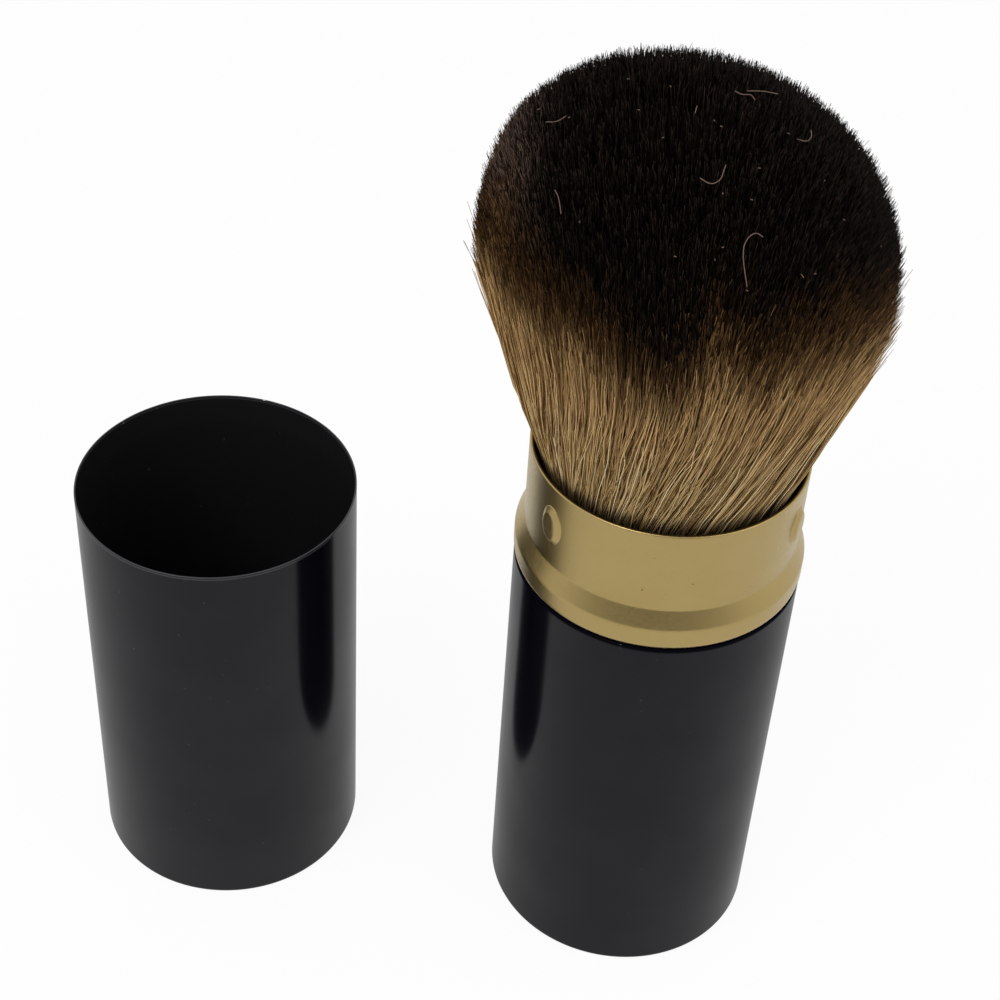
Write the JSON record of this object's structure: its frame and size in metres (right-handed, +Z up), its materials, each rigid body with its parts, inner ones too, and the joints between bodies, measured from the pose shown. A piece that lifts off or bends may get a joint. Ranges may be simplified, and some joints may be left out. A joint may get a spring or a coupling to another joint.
{
  "type": "retractable makeup brush",
  "caption": "Handheld powder brush with a flared hair head on a round barrel, a sleeve that slides up over the hair, and a loose round cap.",
  "frame": {"origin": "centre of the barrel's flat base, on the brush's axis", "axes": "+Z up along the brush's axis to the hair's top, -Y towards the viewer of the picture, the cap stands at -X"},
  "size_m": [0.0924, 0.0458, 0.117],
  "materials": {
    "black_shell": "satin black anodised",
    "gold_shell": "satin gold anodised",
    "bare_aluminium": "bare drawn sheet",
    "plated_steel": "zinc plated",
    "white_plastic": "as moulded",
    "black_plastic": "as moulded",
    "soft_rubber": "matt, lightly greased",
    "root_resin": "set resin with hair roots in it",
    "hair": "fine hair, tan at the roots and nearly black at the tips"
  },
  "bodies": {
    "handle": {"barrel_shell": "black_shell", "barrel_liner": "white_plastic", "base_plug": "black_plastic", "core_post": "white_plastic", "core_screw": "plated_steel", "ferrule": "bare_aluminium", "hair_root_plug": "root_resin", "bristles": "hair"},
    "collar": {"collar_shell": "gold_shell", "slider_ring": "black_plastic", "friction_ring": "soft_rubber"},
    "cap": {"cap_shell": "black_shell"}
  },
  "joints": [
    {"name": "collar_slide", "type": "slide", "parent": "handle", "child": "collar", "axis": [0, 0, 1], "range_m": [0, 0.03], "deforming": ["bristles"]},
    {"name": "cap_lift", "type": "slide", "parent": "handle", "child": "cap", "axis": [0, 0, 1], "range_m": [0, 0.1]}
  ]
}
